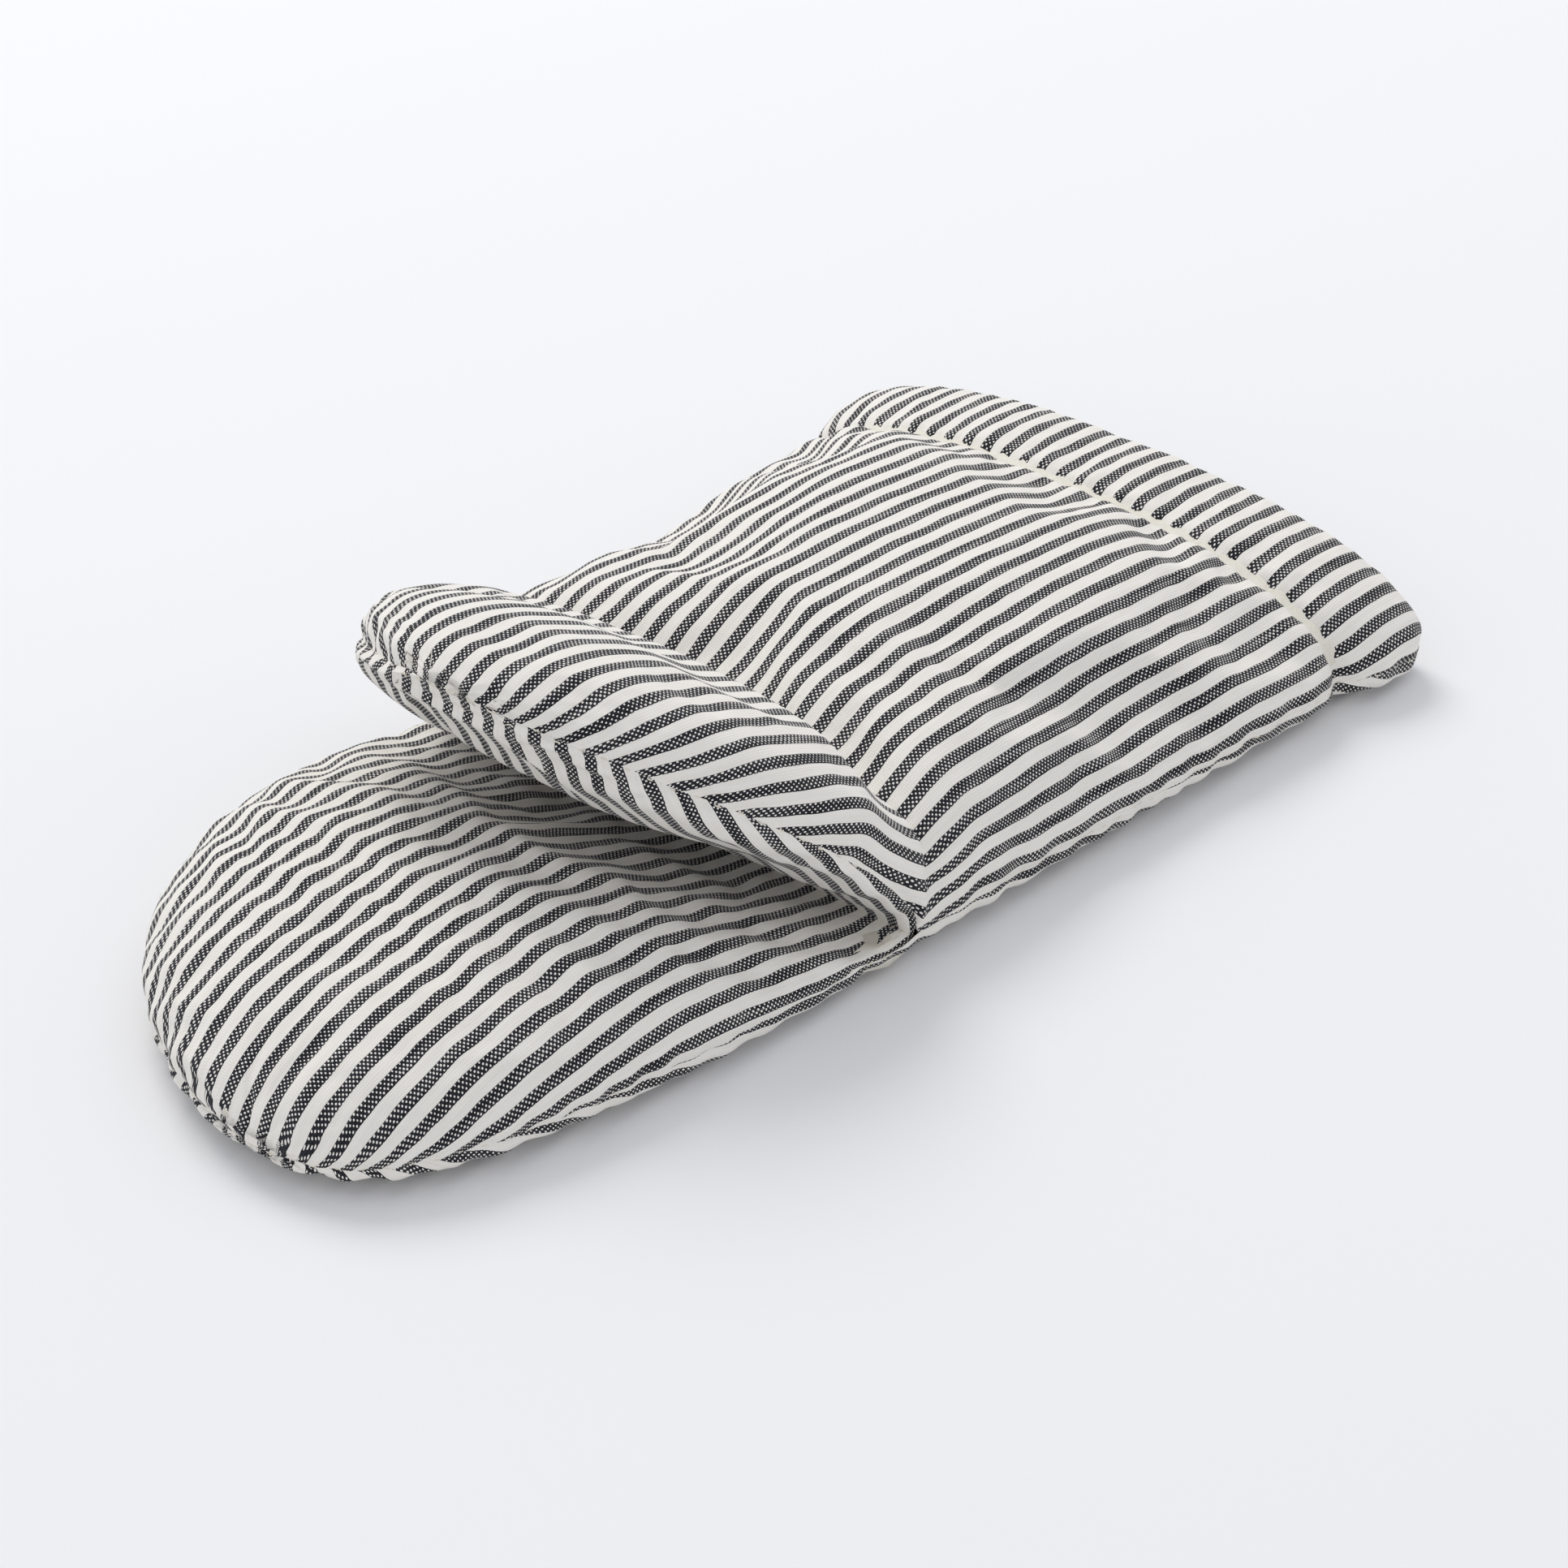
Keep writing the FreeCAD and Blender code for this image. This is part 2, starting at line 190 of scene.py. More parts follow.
@dataclass
class MittShape:
    """The mitt's form in millimetres, read from the frame, and the ribs that give it.

    Args:
        fingers: Crease to fingertips.
        hand: Crease to the open end of the cuff.
        crease_half: Half of the width at the crease.
        cuff_half: Half of the width at the open end.
        seam: Height of the side seams.
        wrist_top: Top of the wrist panel.
        palm_top: Top of the palm panel.
        finger_lean: How far the fingertips lean to one side.
        thumb_length: Crease to the tip of the thumb flap, along its seams.
        thumb_rise: How far the top of the flap stands above its seams, at the crease.
        thumb_drop: How far the underside of the flap hangs below its seams.
        thumb_lift: Angle between the flap and the table.
        thumb_lean: How far the tip of the flap leans to one side.
        thumb_bow: How far the flap's seams arch above the plane through crease and tip.
        facing: How far the cuff is turned in.
        cuff_shift: How far the middle of the wrist panel's ribs is pushed towards the cuff.
        edge: Radius of the padded edge of the cuff.
        columns: Squares of cloth across the mitt.
        finger_rows: Rows of squares along the fingers.
        thumb_rows: Rows along the thumb flap.
        side_rows: Rows from the crease to the cuff's padded edge.
        edge_rows: Rows round each half of that edge.
        facing_rows: Rows along the turned-in facing.
    """

    fingers: float = field(default_factory=lambda: -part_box("finger_palm_shell")[0].y / MM)
    hand: float = field(default_factory=lambda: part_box("wrist_shell")[1].y / MM)
    crease_half: float = field(default_factory=lambda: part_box("thumb_back_shell")[1].x / MM)
    cuff_half: float = field(default_factory=lambda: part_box("wrist_shell")[1].x / MM)
    seam: float = field(default_factory=lambda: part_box("wrist_shell")[0].z / MM)
    wrist_top: float = field(default_factory=lambda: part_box("wrist_shell")[1].z / MM)
    palm_top: float = field(default_factory=lambda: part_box("finger_palm_shell")[1].z / MM)
    finger_lean: float = 16.0
    thumb_length: float = 96.0
    thumb_rise: float = 38.5
    thumb_drop: float = 7.5
    thumb_lift: float = math.radians(44)
    thumb_lean: float = -4.0
    thumb_bow: float = 7.0
    facing: float = 32.0
    cuff_shift: float = 4.0
    edge: float = 3.3
    columns: int = 58
    finger_rows: int = 54
    thumb_rows: int = 36
    side_rows: int = 50
    edge_rows: int = 4
    facing_rows: int = 9

    # ---- outlines
    @property
    def row(self) -> float:
        """Return the place of the row of stitches across the cuff."""
        return self.hand - self.facing

    def side_half(self, y: float) -> float:
        """Give the outline behind the crease, drawn in at the cuff's row and rounded at its corners.

        Args:
            y: The place along the mitt, behind the crease.

        Returns:
            Half of the width there.
        """
        straight = self.crease_half + y / self.hand * (self.cuff_half - self.crease_half)
        drawn_in = 2.6 * math.exp(-(((y - self.row) / 5) ** 2))
        flared = 1.6 * ease((y - self.row - 4) / 12)
        rounded = 4.0 * ease((y - self.hand + 9) / 9)
        return straight - drawn_in + flared - rounded

    def finger_rib(self, fraction: float, crown: float, square: float, full: float) -> Rib:
        """Lay a rib across the fingers.

        Args:
            fraction: How far towards the fingertips it is.
            crown: Height of its middle.
            square: How square its shoulders are.
            full: How full its sides are.

        Returns:
            The rib.
        """
        y = -self.fingers * fraction
        half = self.crease_half * closing(fraction, 2.8, 0.48)
        lean = self.finger_lean * (1.5 * fraction**4 - 0.5 * fraction)
        return Rib(half, lean, (y, self.seam), (y, crown), square, full)

    def thumb_point(self, along: float, above: float) -> tuple[float, float]:
        """Return Y and Z of a point given along and above the thumb flap's seam plane."""
        c, s = math.cos(self.thumb_lift), math.sin(self.thumb_lift)
        return above * s - along * c, self.seam + along * s + above * c

    def thumb_rib(self, fraction: float, crown: tuple[float, float], square: float, full: float) -> Rib:
        """Lay a rib across the thumb flap.

        Args:
            fraction: How far towards the flap's tip it is.
            crown: Y and Z of its middle.
            square: How square its shoulders are.
            full: How full its sides are.

        Returns:
            The rib.
        """
        half = self.crease_half * closing(fraction, 2.1, 0.56)
        arch = self.thumb_bow * math.sin(math.pi * fraction**0.62)
        seam = self.thumb_point(fraction * self.thumb_length, arch)
        return Rib(half, self.thumb_lean * fraction**2, seam, crown, square, full)

    # ---- steps along the seams, shared by the panels that meet there
    def finger_steps(self) -> np.ndarray:
        """Return fractions from the crease to the fingertips, closer together where the outline turns in."""
        t = np.linspace(0, 1, self.finger_rows + 1)
        return 0.45 * t + 0.55 * np.sin(t * math.pi / 2)

    def thumb_steps(self) -> np.ndarray:
        """Return fractions from the crease to the tip of the thumb flap."""
        t = np.linspace(0, 1, self.thumb_rows + 1)
        return 0.4 * t + 0.6 * np.sin(t * math.pi / 2)

    def round_edge(self, inwards: int) -> list[tuple[float, float]]:
        """Go round half of the cuff's padded edge, from the open end.

        Args:
            inwards: 1 for the half that turns inside, -1 for the outer half.

        Returns:
            Places along the mitt, each with how far it lies inside the linen's face.
        """
        steps = []
        for number in range(self.edge_rows + 1):
            angle = math.pi / 2 * (1 - number / self.edge_rows)
            y = self.hand - self.edge + self.edge * math.sin(angle)
            steps.append((y, self.edge * (1 + inwards * math.cos(angle))))
        return steps

    def side_steps(self) -> list[tuple[float, float]]:
        """Return (y, inset) from the open end to the crease, round the outer half of the padded edge."""
        start = self.hand - self.edge
        steps = self.round_edge(-1)[:-1]
        return steps + [(start * (1 - n / self.side_rows), 0.0) for n in range(self.side_rows + 1)]

    def facing_steps(self) -> list[tuple[float, float]]:
        """Return (y, inset) from the open end round the inner half of the padded edge and on inside."""
        start, rows = self.hand - self.edge, self.facing_rows
        reach = self.facing - self.edge
        steps = self.round_edge(1)
        return steps + [(start - reach * n / rows, 2 * self.edge) for n in range(1, rows + 1)]

    # ---- crowns
    def shifted(self, y: float) -> float:
        """Return how far towards the cuff a wrist rib's middle lies from its ends, so that it bows."""
        return self.cuff_shift * ease((self.hand - 20 - y) / 80)

    def wrist_crown(self, y: float) -> float:
        """Return the height of the wrist panel's middle: highest by the thumb, lower at the cuff."""
        rise = self.wrist_top - self.seam
        return self.seam + rise * (1 - 0.34 * ease((y - 45) / (self.hand - 30)) - 0.03 * ease(y / 60))

    def thumb_crown(self, fraction: float) -> tuple[float, float]:
        """Return Y and Z of the middle of the thumb flap's top."""
        above = self.thumb_rise * (1 - 0.4 * fraction) * closing(fraction, 5, 0.5)
        return self.thumb_point(fraction * self.thumb_length, above)

    def palm_crown(self, fraction: float) -> float:
        """Return the height of the palm panel's middle."""
        climb = math.sin(math.pi / 2 * min(1.0, fraction / 0.56)) ** 1.35
        return self.seam + (self.palm_top - self.seam) * climb * closing(fraction, 4.5, 0.5) * 1.06

    def back_crown(self, fraction: float) -> float:
        """Return the height of the back's middle, which lies on the table."""
        return self.seam * (1 - closing(fraction, 9, 0.5))

    # ---- panels
    def wrist_ribs(self) -> list[Rib]:
        """Return the ribs of the wrist panel, which runs on over the top of the thumb flap."""
        blend_y, blend_f = 30.0, 0.33  # the valley lies between these places
        root = self.thumb_crown(blend_f)
        valley = (
            (blend_y, self.wrist_crown(blend_y)),
            (blend_y - 24, self.wrist_crown(blend_y) + 1.0),
            (root[0] + 10, root[1] - 29),
            root,
        )
        length = blend_y + blend_f * self.thumb_length
        ribs = []
        for y, inset in self.side_steps():
            lift = (self.wrist_crown(y) - inset) if y > blend_y else 0.0
            crown = (y + self.shifted(y), lift)
            if y <= blend_y:
                crown = bezier(valley, (blend_y - y) / length)
            boxy = 1 - ease((y - 5) / 70)
            half = self.side_half(y) - inset
            ribs.append(Rib(half, 0.0, (y, self.seam), crown, 2.5 + 0.7 * boxy, 2.1 + 0.6 * boxy))
        for fraction in self.thumb_steps()[1:]:
            crown = self.thumb_crown(fraction)
            if fraction < blend_f:
                crown = bezier(valley, (blend_y + fraction * self.thumb_length) / length)
            ribs.append(self.thumb_rib(fraction, crown, 3.2 - 0.6 * fraction, 2.7 - 0.5 * fraction))
        return ribs

    def palm_ribs(self) -> list[Rib]:
        """Return the ribs of the palm panel, from the crease to the fingertips."""
        return [self.finger_rib(f, self.palm_crown(f), 2.6, 1.9) for f in self.finger_steps()]

    def underside_ribs(self) -> list[Rib]:
        """Return the ribs of the thumb flap's underside, from the crease to its tip."""
        ribs = []
        for fraction in self.thumb_steps():
            share = (0.3 + 0.7 * math.sin(math.pi * fraction**2.3)) * closing(fraction, 6, 0.5)
            below = self.thumb_drop * share * ease(fraction / 0.25)
            crown = self.thumb_point(fraction * self.thumb_length, -below)
            ribs.append(self.thumb_rib(fraction, crown, 2.4, 1.8))
        return ribs

    def back_ribs(self) -> list[Rib]:
        """Return the ribs of the back, from the open end of the cuff to the fingertips."""
        ribs = []
        for y, inset in self.side_steps():
            ribs.append(Rib(self.side_half(y) - inset, 0.0, (y, self.seam), (y, inset), 7.0, 2.2))
        for fraction in self.finger_steps()[1:]:
            ribs.append(self.finger_rib(fraction, self.back_crown(fraction), 7.0 - 3.5 * fraction**3, 2.2))
        return ribs

    def facing_ribs(self, above: bool) -> list[Rib]:
        """Lay the ribs of one side of the cuff's turned-in facing.

        Args:
            above: Whether it is the side under the wrist panel, or else the one on the back.

        Returns:
            The ribs, from the open end inwards.
        """
        ribs = []
        for y, inset in self.facing_steps():
            crown = self.wrist_crown(y) - inset if above else inset
            lean = self.shifted(y) if above else 0.0
            square, full = (2.3, 2.0) if above else (7.0, 2.2)
            half = self.side_half(y) - inset
            ribs.append(Rib(half, 0.0, (y, self.seam), (y + lean, crown), square, full))
        return ribs


# ---------------------------------------------------------------- the bag of cloth
@dataclass(frozen=True)
class Wrinkling:
    """How the slack in the cloth becomes wrinkles.

    Args:
        slack: How much larger the cloth is cut than the form it covers, as a share of its length.
        frames: Steps of the cloth simulation.
        reach: The furthest that a point may move, in millimetres.
        held_loosely: Pull of the wadding under the open cloth.
        held_by_seam: Pull of a seam.
    """

    slack: float = 0.026
    frames: int = 20
    reach: float = 5.0
    held_loosely: float = 0.05
    held_by_seam: float = 0.6


@dataclass
class ClothBag:
    """All the linen, sewn together as one mesh, in metres.

    Args:
        shape: The form that the bag is cut to.
        wrinkling: How it wrinkles.
        mesh: The cloth.
    """

    shape: MittShape
    wrinkling: Wrinkling = field(default_factory=Wrinkling)
    mesh: bmesh.types.BMesh = field(default_factory=bmesh.new)

    def __post_init__(self) -> None:
        """Make the layers that remember each face's panel and pattern, and each point's place."""
        self.panel = self.mesh.faces.layers.int.new("panel")
        self.pattern = self.mesh.loops.layers.uv.new("Pattern")
        # Millimetres from the nearest seam, along that seam from the crease, and behind the crease.
        self.edge = self.mesh.verts.layers.float.new("edge")
        self.run = self.mesh.verts.layers.float.new("run")
        self.station = self.mesh.verts.layers.float.new("station")
        self.out = self.mesh.verts.layers.float_vector.new("out")

    def add_panel(
        self, panel: Panel, ribs: list[Rib], closed: bool = True, straight: float = 0.0
    ) -> None:
        """Lay a grid of cloth over a run of ribs, and give it its pattern and its places.

        Args:
            panel: Which panel it is.
            ribs: The ribs, in order along the mitt.
            closed: Whether the last rib lies in a seam.
            straight: How far the stripes keep to the mitt's length where the panel narrows, from 0 to 1.
        """
        columns, rows = self.shape.columns, len(ribs) - 1
        placed = [rib.points(columns) for rib in ribs]
        points = np.array([p for p, _ in placed])
        across = np.array([a for _, a in placed])
        steps = np.linalg.norm(np.diff(points, axis=0), axis=2)
        # Where a panel narrows, the weft stays square to the stripes, as it does down the panel's middle.
        widest = max(rib.half for rib in ribs)
        narrowing = np.array([ease((1 - rib.half / widest) / 0.2) for rib in ribs])[:, None]
        if straight:
            steps += (steps[:, columns // 2, None] - steps) * narrowing[1:]
        along = np.concatenate([np.zeros((1, columns + 1)), np.cumsum(steps, axis=0)])
        from_side = np.minimum(across - across[:, :1], across[:, -1:] - across)
        if closed:
            from_side = np.minimum(from_side, along[-1:] - along)
        seam_steps = np.linalg.norm(np.diff(points[:, -1], axis=0), axis=1)
        run = np.concatenate([[0], np.cumsum(seam_steps)])
        run -= run[int(np.argmin(np.linalg.norm(points[:, -1, 1:] - (0, self.shape.seam), axis=1)))]
        if straight:
            reference = placed[int(np.argmax(across[:, -1] - across[:, 0]))]
            by_place = np.interp(points[:, :, 0], reference[0][:, 0], reference[1])
            half = np.array([max(rib.half, 1e-6) for rib in ribs])[:, None]
            lean = np.array([rib.lean for rib in ribs])[:, None]
            share = 1 - np.clip(np.abs(points[:, :, 0] - lean) / half, 0, 1) ** 6
            across = across + (by_place - across) * share * narrowing * straight
        made = bmesh.ops.create_grid(self.mesh, x_segments=columns, y_segments=rows, size=1.0)["verts"]
        place = {}
        for vert in made:
            column = round((vert.co.x + 1) / 2 * columns)
            row = round((vert.co.y + 1) / 2 * rows)
            place[vert] = (row, column)
            vert.co = Vector(points[row, column]) * MM
            vert[self.edge] = from_side[row, column]
            vert[self.run] = run[row]
            vert[self.station] = points[row, -1, 1] if panel is not Panel.THUMB_UNDERSIDE else 0.0
        for face in {face for vert in made for face in vert.link_faces}:
            face[self.panel] = panel.value
            for loop in face.loops:
                row, column = place[loop.vert]
                loop[self.pattern].uv = (across[row, column], along[row, column])

    def sew(self) -> None:
        """Join the panels where their edges meet, and point every face outwards."""
        bmesh.ops.remove_doubles(self.mesh, verts=self.mesh.verts, dist=0.02 * MM)
        bmesh.ops.dissolve_degenerate(self.mesh, edges=self.mesh.edges, dist=0.001 * MM)
        bmesh.ops.recalc_face_normals(self.mesh, faces=self.mesh.faces)
        self.mesh.verts.ensure_lookup_table()
        self.mesh.verts.index_update()

    def build(self) -> None:
        """Make, sew and wrinkle all the panels."""
        shape = self.shape
        self.add_panel(Panel.WRIST, shape.wrist_ribs(), straight=0.8)
        self.add_panel(Panel.PALM, shape.palm_ribs(), straight=1.0)
        self.add_panel(Panel.THUMB_UNDERSIDE, shape.underside_ribs(), straight=0.8)
        self.add_panel(Panel.BACK, shape.back_ribs(), straight=1.0)
        self.add_panel(Panel.FACING_ABOVE, shape.facing_ribs(above=True), closed=False)
        self.add_panel(Panel.FACING_BELOW, shape.facing_ribs(above=False), closed=False)
        self.sew()
        LOG.info("bag of cloth: %d points", len(self.mesh.verts))
        self.wrinkle()
        self.mesh.normal_update()
        for vert in self.mesh.verts:
            vert[self.out] = vert.normal

    def hold(self, vert: bmesh.types.BMVert) -> float:
        """Find how firmly a point of the bag is held in its place while it wrinkles.

        Args:
            vert: The point.

        Returns:
            From 0 for loose to 1 for fixed.
        """
        place, loose = vert.co / MM, self.wrinkling.held_loosely
        firm = max(0.0, 1 - place.z / 4.0)
        palm = 0.16 if place.y < -8 and place.z < self.shape.palm_top + 2 else 0.0
        near_crease = max(0.0, 1 - math.hypot(place.y, place.z - self.shape.seam) / 9)
        seam = self.wrinkling.held_by_seam * math.exp(-((vert[self.edge] / 4) ** 2))
        cuff = 0.5 * ease((place.y - self.shape.row + 8) / 10)
        return min(1.0, max(loose, palm, firm, near_crease, seam, cuff))

    def wrinkle(self) -> None:
        """Cut the cloth larger than its form, and let a cloth simulation find the wrinkles."""
        scene, rule = bpy.context.scene, self.wrinkling
        mesh = bpy.data.meshes.new("bag")
        self.mesh.to_mesh(mesh)
        bag = bpy.data.objects.new("bag", mesh)
        scene.collection.objects.link(bag)
        held = bag.vertex_groups.new(name="held")
        for vert in self.mesh.verts:
            held.add([vert.index], self.hold(vert), "REPLACE")
        cloth = bag.modifiers.new("cloth", "CLOTH")
        linen = cloth.settings
        linen.quality = 6
        linen.mass = 0.3
        linen.tension_stiffness = linen.compression_stiffness = 20
        linen.shear_stiffness = 8
        linen.bending_stiffness = 0.6
        linen.vertex_group_mass = "held"
        linen.pin_stiffness = 1.0
        linen.effector_weights.gravity = 0
        linen.shrink_min = -rule.slack
        cloth.collision_settings.use_collision = False
        cloth.collision_settings.use_self_collision = False
        scene.frame_start, scene.frame_end = 1, rule.frames
        for frame_number in range(1, rule.frames + 1):
            scene.frame_set(frame_number)
        evaluated = bag.evaluated_get(bpy.context.evaluated_depsgraph_get())
        settled = evaluated.to_mesh()
        moves = [point.co - vert.co for vert, point in zip(self.mesh.verts, settled.vertices)]
        evaluated.to_mesh_clear()
        farthest = 0.0
        for vert, move in zip(self.mesh.verts, moves):
            length = move.length / MM
            farthest = max(farthest, length)
            if length > rule.reach:
                move *= rule.reach / length
            vert.co += move
            vert.co.z = max(vert.co.z, 0.0)
        bpy.data.objects.remove(bag)
        scene.frame_set(1)
        mean = sum(move.length for move in moves) / len(moves) / MM
        LOG.info("wrinkles: %.1f mm at most, %.2f mm on average", farthest, mean)

    def piece(
        self, name: str, panels: tuple[Panel, ...], levels: int = 1, depth: float = 0.0
    ) -> bpy.types.Object:
        """Cut some panels out of the bag as a piece of their own.

        Args:
            name: The piece's name.
            panels: The panels it is made of.
            levels: Levels of subdivision in its mesh.
            depth: How far under the linen it lies, in millimetres, which changes by the seams.

        Returns:
            The new object.
        """
        cut = self.mesh.copy()
        layer = cut.faces.layers.int["panel"]
        edge = cut.verts.layers.float["edge"]
        out = cut.verts.layers.float_vector["out"]
        keep = {panel.value for panel in panels}
        if depth:
            for vert in cut.verts:
                # Thin where the seams catch it, and pulled inwards so that none of it shows through them.
                thinned = depth * (0.12 + 0.88 * ease(vert[edge] / 10))
                pulled_in = 4.2 * math.exp(-((vert[edge] / 5) ** 2))
                vert.co -= vert[out] * (thinned + pulled_in) * MM
        gone = [face for face in cut.faces if face[layer] not in keep]
        bmesh.ops.delete(cut, geom=gone, context="FACES")
        return finished(name, cut, levels)


def finished(name: str, cut: bmesh.types.BMesh, levels: int = 1) -> bpy.types.Object:
    """Turn a bmesh into an object with smooth faces and its subdivision applied.

    Args:
        name: The object's name.
        cut: The bmesh, which is freed.
        levels: Levels of subdivision.

    Returns:
        The new object, linked to the scene.
    """
    rough = bpy.data.meshes.new(name)
    cut.to_mesh(rough)
    cut.free()
    made = bpy.data.objects.new(name, rough)
    bpy.context.scene.collection.objects.link(made)
    if levels:
        smooth = made.modifiers.new("smooth", "SUBSURF")
        smooth.levels = smooth.render_levels = levels
        apply_modifiers(made)
    made.data.shade_smooth()
    return made


def apply_modifiers(made: bpy.types.Object) -> None:
    """Put the result of an object's modifiers into its mesh.

    Args:
        made: The object, which keeps its name and its mesh's name.
    """
    evaluated = made.evaluated_get(bpy.context.evaluated_depsgraph_get())
    mesh = bpy.data.meshes.new_from_object(evaluated)
    made.modifiers.clear()
    rough, made.data = made.data, mesh
    name = rough.name
    bpy.data.meshes.remove(rough)
    mesh.name = name
    mesh.shade_smooth()


def read(mesh: bpy.types.Mesh, name: str, width: int = 1) -> np.ndarray:
    """Read a point attribute.

    Args:
        mesh: The mesh that has it.
        name: Its name.
        width: 3 for a vector, 1 for a number.

    Returns:
        An array with one row for each point.
    """
    values = np.empty(len(mesh.vertices) * width)
    kind = "vector" if width == 3 else "value"
    mesh.attributes[name].data.foreach_get(kind, values)
    return values.reshape(-1, width) if width > 1 else values


@dataclass(frozen=True)
class Needlework:
    """What sewing does to the cloth, in millimetres.

    Args:
        seam_depth: How far a seam pulls the cloth in.
        seam_width: How wide that groove is.
        pucker: Height of the small gathers beside a seam.
        pucker_length: Distance from one gather to the next.
        row_depth: How far the row of stitches across the cuff presses in.
        row_width: How wide that groove is.
        hem_fullness: How far the turned-in cuff stands out beyond the row.
        pitch: Distance from one stitch of the row to the next.
    """

    seam_depth: float = 1.3
    seam_width: float = 2.3
    pucker: float = 0.32
    pucker_length: float = 10.5
    row_depth: float = 1.9
    row_width: float = 2.0
    hem_fullness: float = 1.5
    pitch: float = 5.5

    def press(self, piece: bpy.types.Object, shape: MittShape, row: bool) -> None:
        """Sink the seams and the row of stitches into a piece of cloth.

        Args:
            piece: The piece, with its places as point attributes.
            shape: The mitt's form.
            row: Whether the row of stitches crosses this piece.
        """
        mesh = piece.data
        edge, run, station = (read(mesh, name) for name in ("edge", "run", "station"))
        out = read(mesh, "out", 3)
        out /= np.maximum(np.linalg.norm(out, axis=1, keepdims=True), 1e-9)
        place = np.empty(len(mesh.vertices) * 3)
        mesh.vertices.foreach_get("co", place)
        place = place.reshape(-1, 3)
        x = place[:, 0] / MM
        rise = -self.seam_depth * np.exp(-((edge / self.seam_width) ** 2))
        wave = np.sin(run * 2 * np.pi / self.pucker_length + 1.7 * np.sin(run / 13.0))
        rise += self.pucker * wave * np.exp(-(((edge - 2.0) / 4.5) ** 2))
        past = station - shape.row
        hem = np.clip(past / shape.facing, 0, 1)
        uneven = 1 + 0.3 * np.sin(x / 7.0 + 0.8 * np.sin(x / 17.0))
        rise += self.hem_fullness * np.sin(np.pi * hem) ** 0.8 * uneven * (past > 0)
        if row:
            dimple = 1 + 0.22 * np.cos(2 * np.pi * x / self.pitch)
            near = np.clip(edge / 3, 0, 1)
            rise -= self.row_depth * np.exp(-((past / self.row_width) ** 2)) * dimple * near
            beside = np.exp(-(((np.abs(past) - 6) / 4.5) ** 2))
            rise += 0.55 * beside * np.sin(x / 2.9 + 1.4 * np.sin(x / 11.0)) * near
        place += out * rise[:, None] * MM
        place[:, 2] = np.maximum(place[:, 2], 0.0)
        mesh.vertices.foreach_set("co", place.ravel())
        mesh.update()


@dataclass
class StitchLine:
    """Stitches of sewing thread laid along a line on the cloth, as one piece.

    Args:
        length: Length of one stitch, in millimetres.
        thread: Thickness of the thread.
        pitch: Distance from one stitch to the next.
    """

    length: float = 3.2
    thread: float = 0.5
    pitch: float = 5.5

    def sew(
        self, name: str, lines: list[list[Vector]], cloth: bpy.types.Object, proud: float
    ) -> bpy.types.Object:
        """Lay stitches on a piece of cloth.

        Args:
            name: The new piece's name.
            lines: Lines of points near the cloth, in metres.
            cloth: The cloth that they lie on.
            proud: How far the middle of the thread stands out of the cloth, in millimetres.

        Returns:
            The stitches, as one object.
        """
        tree = BVHTree.FromObject(cloth, bpy.context.evaluated_depsgraph_get())
        stitches = bmesh.new()
        one = self.one_stitch()
        for line in lines:
            gone, due = 0.0, self.pitch * MM / 2
            for here, there in zip(line, line[1:]):
                step = there - here
                while step.length and due <= gone + step.length:
                    spot, normal, _, _ = tree.find_nearest(here + step * ((due - gone) / step.length))
                    along = step.normalized()
                    side = normal.cross(along).normalized()
                    turn = Matrix((side, along.cross(side).normalized(), along)).transposed().to_4x4()
                    before = len(stitches.verts)
                    stitches.from_mesh(one)
                    stitches.verts.ensure_lookup_table()
                    place = Matrix.Translation(spot + normal * proud * MM) @ turn
                    bmesh.ops.transform(stitches, matrix=place, verts=stitches.verts[before:])
                    due += self.pitch * MM
                gone += step.length
        bpy.data.meshes.remove(one)
        return finished(name, stitches, 0)

    def one_stitch(self) -> bpy.types.Mesh:
        """Make the stitch that all the others copy, with its face towards +Y.

        Returns:
            A stitch along Z, thinner at its ends, which dip into the cloth.
        """
        stitch = bmesh.new()
        radius, half = self.thread * MM / 2, self.length * MM / 2
        bmesh.ops.create_circle(stitch, cap_ends=True, segments=8, radius=radius * 0.6)
        bmesh.ops.translate(stitch, verts=stitch.verts, vec=(0, 0, -half))
        rings, ring = 6, list(stitch.faces)
        for number in range(1, rings + 1):
            height = half * (2 * number / rings - 1)
            wide = 1 - 0.4 * abs(height / half) ** 3
            grown = bmesh.ops.extrude_face_region(stitch, geom=ring)["geom"]
            ring = [item for item in grown if isinstance(item, bmesh.types.BMFace)]
            corners = [item for item in grown if isinstance(item, bmesh.types.BMVert)]
            for corner in corners:
                flat = Vector((corner.co.x, corner.co.y, 0)).normalized() * radius * wide
                corner.co = Vector((flat.x, flat.y, height))
        for corner in stitch.verts:
            corner.co.y -= self.thread * MM * 0.9 * min(1.0, abs(corner.co.z) / half) ** 2.5
        bmesh.ops.recalc_face_normals(stitch, faces=stitch.faces)
        mesh = bpy.data.meshes.new("one_stitch")
        stitch.to_mesh(mesh)
        stitch.free()
        return mesh


# ---------------------------------------------------------------- materials
def bare_material(name: str) -> tuple[bpy.types.Material, bpy.types.NodeTree]:
    """Start a material with no nodes.

    Args:
        name: What the real material is called.

    Returns:
        The material and its node tree.
    """
    material = bpy.data.materials.new(name)
    material.use_nodes = True
    material.node_tree.nodes.clear()
    return material, material.node_tree


